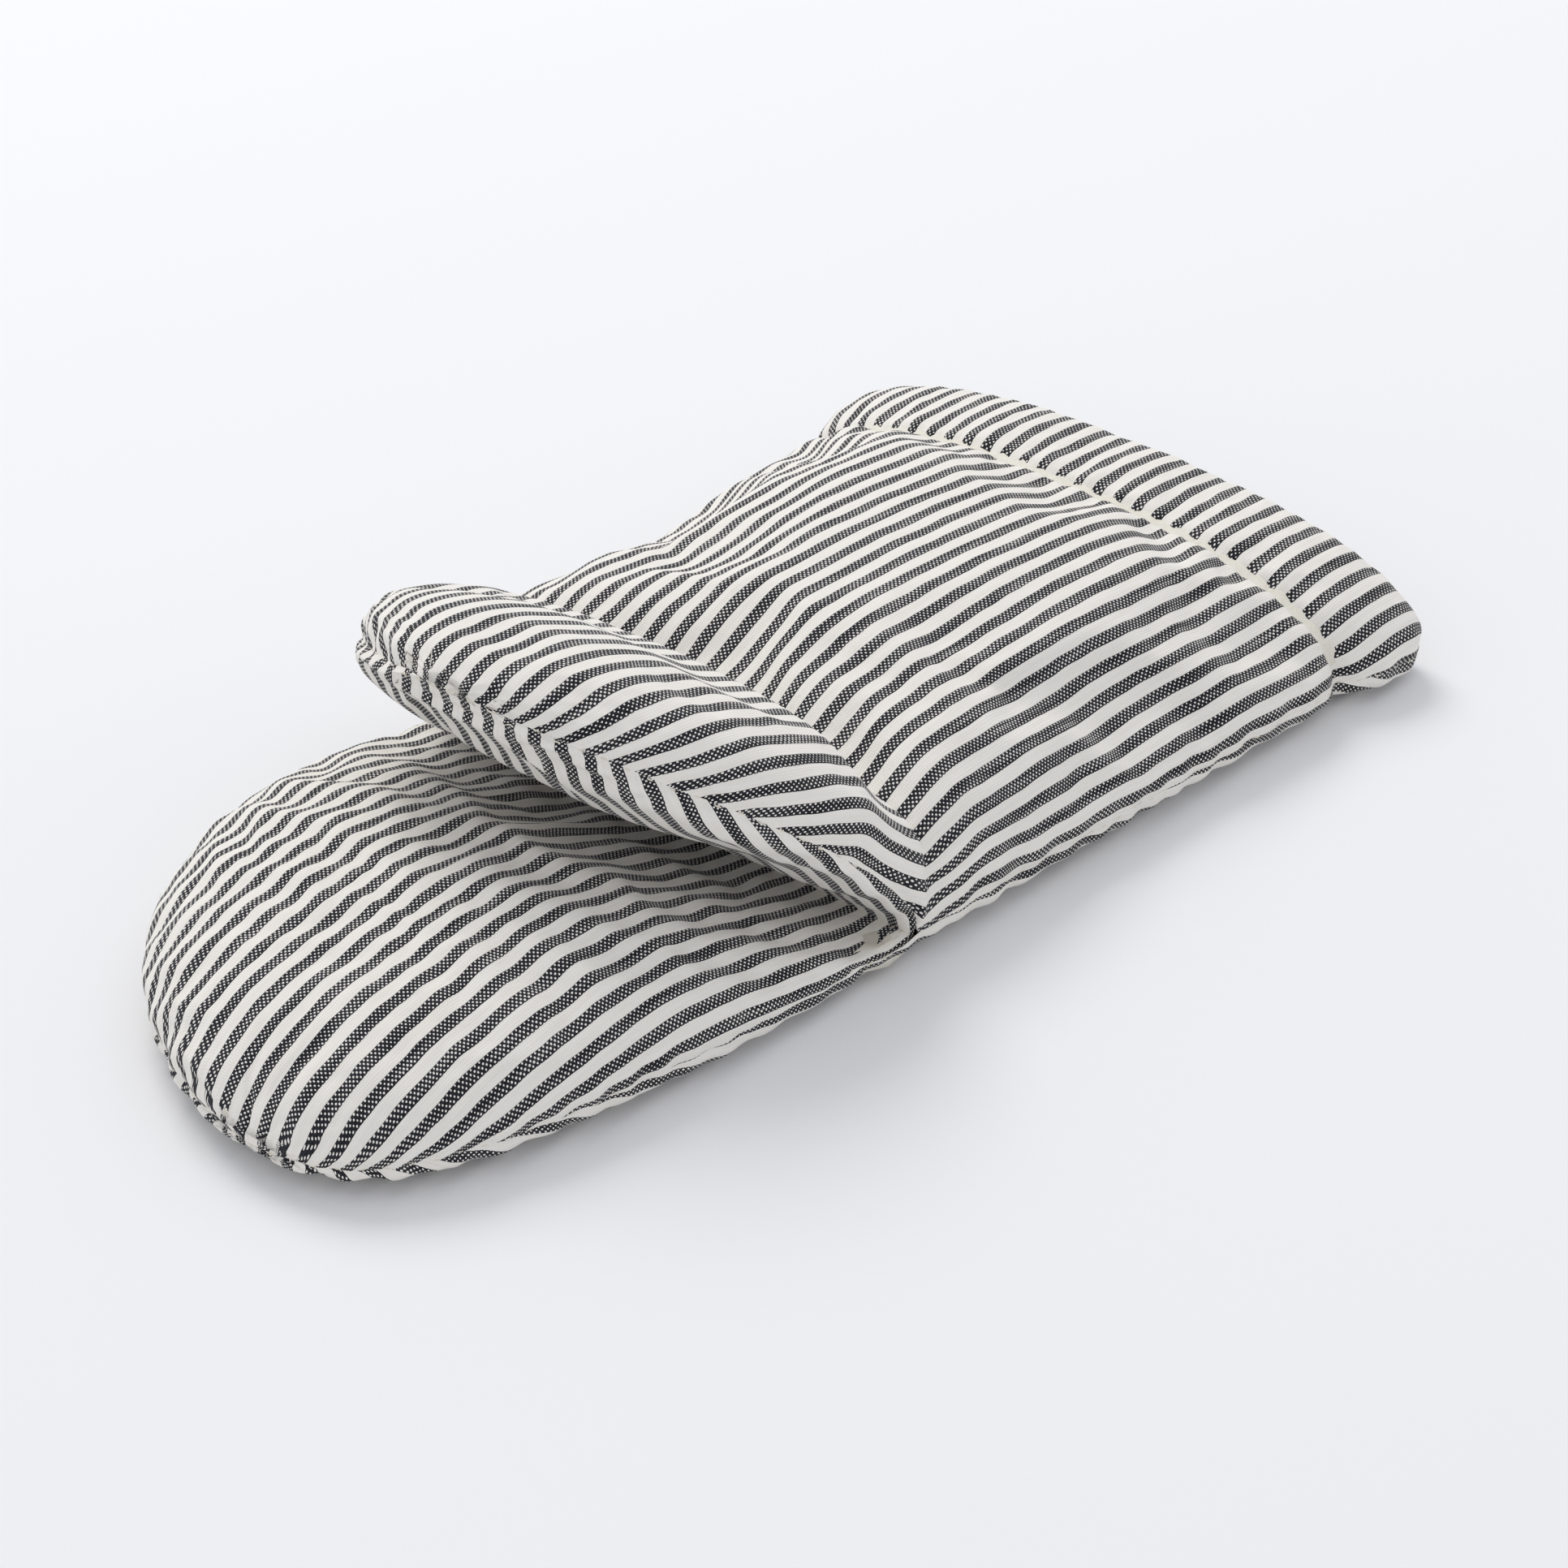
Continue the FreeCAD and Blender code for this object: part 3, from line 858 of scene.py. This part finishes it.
def weave(
    tree: bpy.types.NodeTree,
    across: bpy.types.NodeSocket,
    along: bpy.types.NodeSocket,
    warp: float,
    weft: float,
) -> bpy.types.NodeSocket:
    """Draw a plain weave.

    Args:
        tree: The material's node tree.
        across: Millimetres across the warp threads.
        along: Millimetres along them.
        warp: Distance between warp threads, in millimetres.
        weft: Distance between weft threads.

    Returns:
        Above zero where the warp lies over the weft, and below zero where it lies under it.
    """
    waves = []
    for place, thread in ((across, warp), (along, weft)):
        turn = add_node(tree, "Math", {0: place, 1: math.pi / thread}, operation="MULTIPLY")
        waves.append(add_node(tree, "Math", {0: turn.outputs[0]}, operation="SINE").outputs[0])
    return add_node(tree, "Math", {0: waves[0], 1: waves[1]}, operation="MULTIPLY").outputs[0]


def finish_surface(
    tree: bpy.types.NodeTree,
    colour: bpy.types.NodeSocket,
    height: bpy.types.NodeSocket,
    strength: float,
    relief: float,
    looks: dict[str, float],
) -> None:
    """Add a material's bump, its shader and its output.

    Args:
        tree: The material's node tree.
        colour: Its colour.
        height: The height of its relief, from 0 to 1.
        strength: How strongly the relief shows.
        relief: The relief's real height, in millimetres.
        looks: The shader's other settings.
    """
    bump = add_node(tree, "Bump", {"Strength": strength, "Distance": relief * MM, "Height": height})
    sockets = {"Base Color": colour, "Normal": bump.outputs[0]} | looks
    shader = add_node(tree, "BsdfPrincipled", sockets)
    add_node(tree, "OutputMaterial", {"Surface": shader.outputs[0]})


@dataclass(frozen=True)
class LinenTicking:
    """Plain-woven linen ticking: cream, with stripes of charcoal warp threads that cream weft crosses.

    Woven with yarn-dyed threads, so each dark stripe is a checker of dark and cream dots, and the yarn's
    slubs make the stripes darker or paler for a short way. Real linen of this kind has a thread every 0.5
    mm; it is drawn a little coarser, so that the dots show.

    Args:
        repeat: One dark and one cream stripe, in millimetres.
        warps: Warp threads in one repeat.
        dark_warps: How many of them are dark.
        weft: Distance between weft threads, in millimetres.
        charcoal: The dyed yarn.
        faded: The same yarn where it is worn pale.
        cream: The undyed yarn.
        bleached: The undyed yarn at its lightest.
    """

    repeat: float = 6.05
    warps: int = 9
    dark_warps: float = 4.3
    weft: float = 0.62
    charcoal: str = "1A1B21"
    faded: str = "55565D"
    cream: str = "E8E3DA"
    bleached: str = "FAF7F1"

    def make(self, name: str) -> bpy.types.Material:
        """Build the material, called name, on the piece's Pattern map, whose unit is a millimetre.

        Args:
            name: What it is called.

        Returns:
            The material.
        """
        material, tree = bare_material(name)
        pattern = add_node(tree, "UVMap", uv_map="Pattern").outputs["UV"]
        wander = add_node(tree, "TexNoise", {"Vector": pattern, "Scale": 0.045, "Detail": 2.0})
        shift = add_node(tree, "Math", {0: wander.outputs[0], 1: 2.2, 2: -1.1}, operation="MULTIPLY_ADD")
        axes = add_node(tree, "SeparateXYZ", {0: pattern})
        across = add_node(tree, "Math", {0: axes.outputs[0], 1: shift.outputs[0]}, operation="ADD").outputs[0]
        crossing = weave(tree, across, axes.outputs[1], self.repeat / self.warps, self.weft)
        # Yarn that differs along its length: long thin patches, a thread or two wide.
        stretched = add_node(tree, "Mapping", {"Vector": pattern, "Scale": (0.9, 0.045, 1.0)})
        slubs = add_node(
            tree, "TexNoise", {"Vector": stretched.outputs[0], "Scale": 1.0, "Detail": 3.0, "Roughness": 0.6}
        ).outputs[0]
        cover = add_node(
            tree, "MapRange", {0: slubs, 1: 0.3, 2: 0.7, 3: -0.14, 4: -0.8}, clamp=True
        ).outputs[0]
        over = add_node(tree, "Math", {0: crossing, 1: cover}, operation="GREATER_THAN").outputs[0]
        phase = add_node(tree, "Math", {0: across, 1: 1 / self.repeat}, operation="MULTIPLY").outputs[0]
        turn = add_node(tree, "Math", {0: phase}, operation="FRACT").outputs[0]
        stripe = add_node(
            tree, "Math", {0: turn, 1: self.dark_warps / self.warps}, operation="LESS_THAN"
        ).outputs[0]
        dark = add_node(tree, "Math", {0: over, 1: stripe}, operation="MULTIPLY").outputs[0]
        tone = add_node(tree, "MapRange", {0: slubs, 1: 0.3, 2: 0.6, 3: 0.3, 4: 0.0}, clamp=True)
        yarn = add_node(
            tree,
            "Mix",
            {0: tone.outputs[0], 6: linear(self.charcoal), 7: linear(self.faded)},
            data_type="RGBA",
        )
        ground = add_node(
            tree, "Mix", {0: slubs, 6: linear(self.cream), 7: linear(self.bleached)}, data_type="RGBA"
        )
        colour = add_node(
            tree, "Mix", {0: dark, 6: ground.outputs[2], 7: yarn.outputs[2]}, data_type="RGBA"
        )
        height = add_node(tree, "Math", {0: crossing}, operation="ABSOLUTE")
        looks = {"Roughness": 0.92, "Specular IOR Level": 0.25, "Sheen Weight": 0.12, "Sheen Roughness": 0.5}
        finish_surface(tree, colour.outputs[2], height.outputs[0], 0.5, 0.12, looks)
        return material


@dataclass(frozen=True)
class PlainCotton:
    """Unbleached cotton, plain woven, with fine even threads and a soft matt face.

    Args:
        thread: Distance between threads, in millimetres.
        pale: The lightest yarn, and the colour on the threads' tops.
        deep: The darkest yarn, and the painted shade in the hollows between the threads.
    """

    thread: float = 0.5
    pale: str = "EAE5DA"
    deep: str = "D6CFC1"

    def make(self, name: str) -> bpy.types.Material:
        """Build the material, called name, on the piece's Pattern map, whose unit is a millimetre.

        Args:
            name: What it is called.

        Returns:
            The material.
        """
        material, tree = bare_material(name)
        pattern = add_node(tree, "UVMap", uv_map="Pattern").outputs["UV"]
        axes = add_node(tree, "SeparateXYZ", {0: pattern})
        crossing = weave(tree, axes.outputs[0], axes.outputs[1], self.thread, self.thread)
        height = add_node(tree, "Math", {0: crossing}, operation="ABSOLUTE")
        uneven = add_node(tree, "TexNoise", {"Vector": pattern, "Scale": 0.3, "Detail": 3.0})
        # Painted shade: the colour is darkest in the hollows between the threads, where the weave's height is
        # low, and palest on their tops; the noise adds random tone.
        share = add_node(tree, "Math", {0: height.outputs[0], 1: uneven.outputs[0]}, operation="MULTIPLY")
        colour = add_node(
            tree, "Mix", {0: share.outputs[0], 6: linear(self.deep), 7: linear(self.pale)}, data_type="RGBA"
        )
        finish_surface(tree, colour.outputs[2], height.outputs[0], 0.4, 0.1, {"Roughness": 0.9})
        return material


@dataclass(frozen=True)
class FibrousCotton:
    """Loose or twisted cotton fibres: needled wadding, or sewing thread where the scale is finer.

    Carded and needled, or spun and twisted, so the surface is matt, faintly streaked and a little fuzzy.

    Args:
        grain: Size of the streaks, in millimetres.
        pale: The lightest fibre.
        deep: The darkest fibre.
    """

    grain: float = 2.5
    pale: str = "F3F0E6"
    deep: str = "DDD6C6"

    def make(self, name: str) -> bpy.types.Material:
        """Build the material on Object coordinates, which are in metres.

        Args:
            name: The material's name.

        Returns:
            The material.
        """
        material, tree = bare_material(name)
        place = add_node(tree, "TexCoord").outputs["Object"]
        fibre = add_node(
            tree,
            "TexNoise",
            {
                "Vector": place,
                "Scale": 1 / (self.grain * MM),
                "Detail": 4.0,
                "Roughness": 0.65,
                "Distortion": 0.8,
            },
        )
        colour = add_node(
            tree, "Mix", {0: fibre.outputs[0], 6: linear(self.deep), 7: linear(self.pale)}, data_type="RGBA"
        )
        looks = {"Roughness": 0.95, "Sheen Weight": 0.1}
        finish_surface(tree, colour.outputs[2], fibre.outputs[0], 0.6, self.grain * 0.15, looks)
        return material


# ---------------------------------------------------------------- studio
@dataclass
class Studio:
    """A plain pale floor, soft light and the camera.

    Args:
        azimuth: Where the camera stands round the mitt, from in front of the fingertips.
        elevation: How high it looks from.
        distance: From the camera to its target, in metres.
        lens: Focal length, in millimetres.
        target: What it looks at, in metres.
        surroundings: Brightness of the room.
    """

    azimuth: float = math.radians(40.8)
    elevation: float = math.radians(33.0)
    distance: float = 1.12
    lens: float = 109.8
    target: Vector = field(default_factory=lambda: Vector((0.0175, 0.0205, 0.015)))
    surroundings: float = 0.77

    def camera(self) -> None:
        """Place the camera and make it the scene's."""
        data = bpy.data.cameras.new("camera")
        data.lens, data.sensor_width = self.lens, 36.0
        data.clip_end = 20
        made = bpy.data.objects.new("camera", data)
        back = Vector(
            (
                math.sin(self.azimuth) * math.cos(self.elevation),
                -math.cos(self.azimuth) * math.cos(self.elevation),
                math.sin(self.elevation),
            )
        )
        made.location = self.target + back * self.distance
        made.rotation_euler = (-back).to_track_quat("-Z", "Y").to_euler()
        bpy.context.scene.collection.objects.link(made)
        bpy.context.scene.camera = made

    def light(
        self, name: str, place: tuple[float, float, float], size: float, power: float, tint: str
    ) -> None:
        """Add one soft area light that faces the mitt.

        Args:
            name: Its name.
            place: Where it hangs, in metres.
            size: Its width, in metres.
            power: Its power, in watts.
            tint: Its colour, as six hex digits.
        """
        data = bpy.data.lights.new(name, "AREA")
        data.shape, data.size, data.energy, data.color = "DISK", size, power, linear(tint)[:3]
        made = bpy.data.objects.new(name, data)
        made.location = place
        made.rotation_euler = (-Vector(place)).to_track_quat("-Z", "Y").to_euler()
        bpy.context.scene.collection.objects.link(made)

    def build(self) -> None:
        """Make the floor, the surroundings, the light and the camera."""
        mesh = bpy.data.meshes.new("floor")
        plane = bmesh.new()
        bmesh.ops.create_grid(plane, x_segments=1, y_segments=1, size=6.0)
        plane.to_mesh(mesh)
        plane.free()
        floor = bpy.data.objects.new("floor", mesh)
        bpy.context.scene.collection.objects.link(floor)
        material = bpy.data.materials.new("seamless_paper")
        material.use_nodes = True
        shader = material.node_tree.nodes["Principled BSDF"]
        shader.inputs["Base Color"].default_value = linear("F4F4F5")
        shader.inputs["Roughness"].default_value = 0.9
        mesh.materials.append(material)
        world = bpy.data.worlds.new("studio")
        world.use_nodes = True
        sky = world.node_tree.nodes["Background"]
        sky.inputs[0].default_value = linear("F3F5FA")
        sky.inputs[1].default_value = self.surroundings
        bpy.context.scene.world = world
        bpy.context.scene.view_settings.view_transform = "Standard"
        self.light("key", (-2.1, 0.9, 2.45), 1.9, 46.0, "FFFDF9")
        self.camera()


# ---------------------------------------------------------------- pieces
class Ride(Enum):
    """What a piece of the mitt moves with."""

    HAND = "hand"
    OVER_CREASE = "hand to thumb"
    OVER_KNUCKLES = "hand to fingers"
    FINGERS = "fingers"
    THUMB = "thumb"


@dataclass
class Mitt:
    """The oven mitt: linen outside, cotton lining inside, wadding between them, and the sewing thread.

    Args:
        shape: Its form.
        needlework: What the seams do to the linen.
        fold: Half of the width of the band that bends at the crease, in metres.
        knuckle_band: Half of the width of the band that bends at the knuckles, in metres.
        made: Names of the pieces made so far.
    """

    shape: MittShape = field(default_factory=MittShape)
    needlework: Needlework = field(default_factory=Needlework)
    fold: float = 0.022
    knuckle_band: float = 0.025
    made: list[str] = field(default_factory=list)

    # For each sewn part: its panels, what it moves with, and the stems of the CAD nodes it stands for.
    PANELS: ClassVar[dict[str, tuple[tuple[Panel, ...], Ride, tuple[str, ...]]]] = {
        "wrist_and_thumb": ((Panel.WRIST,), Ride.OVER_CREASE, ("wrist", "thumb_back")),
        "palm": ((Panel.PALM,), Ride.OVER_KNUCKLES, ("palm", "finger_palm")),
        "thumb_underside": ((Panel.THUMB_UNDERSIDE,), Ride.OVER_CREASE, ("thumb_palm",)),
        "back": ((Panel.BACK,), Ride.OVER_KNUCKLES, ("back", "finger_back")),
    }

    def __post_init__(self) -> None:
        """Sew the cloth and make the finishes."""
        self.bag = ClothBag(self.shape)
        self.bag.build()
        self.linen = LinenTicking().make("yarn_dyed_linen_ticking")
        self.cotton = PlainCotton().make("unbleached_cotton_lining")
        self.wadding = FibrousCotton().make("needled_cotton_wadding")
        self.thread = FibrousCotton(grain=0.5, pale="F4EFE2", deep="D8CFBC").make("twisted_cotton_thread")

    def dress(
        self, piece: bpy.types.Object, finish: bpy.types.Material, slot: str, ride: Ride, *nodes: str
    ) -> None:
        """Give a piece its finish, what it moves with and the CAD nodes it stands for.

        Args:
            piece: The finished piece.
            finish: Its material.
            slot: The name of a material slot; not used.
            ride: What it moves with.
            nodes: The names of the nodes.
        """
        piece.data.materials.clear()
        piece.data.materials.append(finish)
        if ride is Ride.OVER_CREASE:
            middle = Vector((0, 0, self.shape.seam * MM))
            # The band is square to the flap and the wrist panel's surface where they meet.
            half_turn = (math.pi - self.shape.thumb_lift) / 2
            towards = Vector((0, -math.sin(half_turn), math.cos(half_turn))) * self.fold
            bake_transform(piece, "hand", "thumb", middle - towards, middle + towards)
        elif ride is Ride.OVER_KNUCKLES:
            knuckle, height = self.knuckle(), 0.02
            start = (0, knuckle + self.knuckle_band, height)
            end = (0, knuckle - self.knuckle_band, height)
            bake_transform(piece, "hand", "fingers", start, end)
        else:
            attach(piece, ride.value)
        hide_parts(*nodes)
        self.made.append(piece.name)
        LOG.info("%s: %d faces, %s", piece.name, len(piece.data.polygons), ride.value)

    @staticmethod
    def knuckle() -> float:
        """Return the place of the knuckle line, in metres from the crease, which is behind it."""
        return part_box("palm_shell")[0].y

    def outer_cloth(self) -> None:
        """Make the linen panels."""
        for name, (panels, ride, stems) in self.PANELS.items():
            top = name == "wrist_and_thumb"
            piece = self.bag.piece(f"{name}_linen", panels, levels=2 if top else 1)
            self.needlework.press(piece, self.shape, row=top)
            self.dress(piece, self.linen, "linen_ticking", ride, *(f"{stem}_shell" for stem in stems))
        facing = self.bag.piece("cuff_facing_linen", (Panel.FACING_ABOVE, Panel.FACING_BELOW))
        self.dress(facing, self.linen, "linen_ticking", Ride.HAND, "cuff_facing")

    def layer(
        self,
        kind: str,
        depth: float,
        thick: float,
        finish: bpy.types.Material,
        slot: str,
        fill: float,
    ) -> None:
        """slot: The name of a material slot; not used.
            fill: How full it is, for a padded piece.
        """
        for name, (panels, ride, stems) in self.PANELS.items():
            piece = self.bag.piece(f"{name}_panel_{kind}", panels, levels=0, depth=depth)
            edge = read(piece.data, "edge")
            full = piece.vertex_groups.new(name="full")
            for number, away in enumerate(edge):
                full.add([number], 0.15 + 0.85 * ease(float(away) / 10), "REPLACE")
            wall = piece.modifiers.new("wall", "SOLIDIFY")
            wall.thickness, wall.offset = thick * MM, -1.0
            wall.vertex_group = "full"
            apply_modifiers(piece)
            self.dress(piece, finish, slot, ride, *(f"{stem}_{kind}" for stem in stems))

    def side(self, sign: int, start: float, end: float) -> list[Vector]:
        """Follow a side seam between two places along the mitt, in millimetres behind the crease.

        Args:
            sign: Which side, 1 or -1.
            start: The first place.
            end: The last place.

        Returns:
            Points on the seam, in metres.
        """
        points = []
        for y in np.linspace(start, end, 40):
            if y >= 0:
                x = sign * self.shape.side_half(float(y))
            else:
                rib = self.shape.finger_rib(-float(y) / self.shape.fingers, 0.0, 2.0, 2.0)
                x = rib.lean + sign * rib.half
            points.append(Vector((x, float(y), self.shape.seam)) * MM)
        return points

    def loop(self, rib_at: Callable[[float], Rib], start: float) -> list[Vector]:
        """Follow the seam round a closed end, from one side over the tip to the other.

        Args:
            rib_at: Gives the rib at a fraction of the way to the tip.
            start: The fraction where the line begins.

        Returns:
            Points on the seam, in metres.
        """
        fractions = [start + (1 - start) * math.sin(t) for t in np.linspace(0, math.pi / 2, 50)]
        ribs = [rib_at(fraction) for fraction in fractions]
        near = [Vector((rib.lean + rib.half, *rib.seam)) * MM for rib in ribs]
        far = [Vector((rib.lean - rib.half, *rib.seam)) * MM for rib in reversed(ribs)]
        return near + far[1:]

    def sewing(self) -> None:
        """Make the stitches: the row across the cuff, and the thread that shows in the seams."""
        shape, row = self.shape, self.shape.row
        points, _ = Rib(
            shape.side_half(row), 0.0, (row, shape.seam), (row, shape.wrist_crown(row))
        ).points(120)
        across = [Vector(point) * MM for point in points[4:-4]]
        knuckle, clear = self.knuckle() / MM, 28  # the rows stop clear of the band that bends
        sides = [self.side(sign, 6, shape.hand - 6) for sign in (1, -1)]
        palms = [self.side(sign, -6, knuckle + clear) for sign in (1, -1)]
        tips = self.loop(
            lambda f: shape.finger_rib(f, 0.0, 2.0, 2.0), (-knuckle + clear) / shape.fingers
        )
        flap = self.loop(lambda f: shape.thumb_rib(f, (0.0, 0.0), 2.0, 2.0), 0.28)
        plain, hidden = StitchLine(), StitchLine(length=2.6, thread=0.45)
        for name, stitch, lines, cloth, proud, ride in (
            ("cuff_row", plain, [across], "wrist_and_thumb", -0.2, Ride.HAND),
            ("side_seam", hidden, sides, "wrist_and_thumb", -0.1, Ride.HAND),
            ("palm_seam", hidden, palms, "palm", -0.1, Ride.HAND),
            ("fingertip_seam", hidden, [tips], "palm", -0.1, Ride.FINGERS),
            ("thumb_seam", hidden, [flap], "thumb_underside", -0.1, Ride.THUMB),
        ):
            linen = bpy.data.objects[f"{cloth}_linen"]
            piece = stitch.sew(f"{name}_thread", lines, linen, proud)
            self.dress(piece, self.thread, "cotton_thread", ride, f"{name}_stitches")

    def build(self) -> None:
        """Make every piece."""
        self.outer_cloth()
        self.layer("wadding", 0.9, 3.9, self.wadding, "cotton_wadding", 0.6)
        self.layer("lining", 5.2, 0.7, self.cotton, "cotton_lining", 0.1)
        self.sewing()


def main() -> None:
    """Build the mitt around the frame, and the studio around the mitt."""
    logging.basicConfig(level=logging.INFO, format="%(name)s: %(message)s")
    mitt = Mitt()
    mitt.build()
    Studio().build()
    LOG.info("%d pieces", len(mitt.made))


if __name__ == "__main__":
    main()
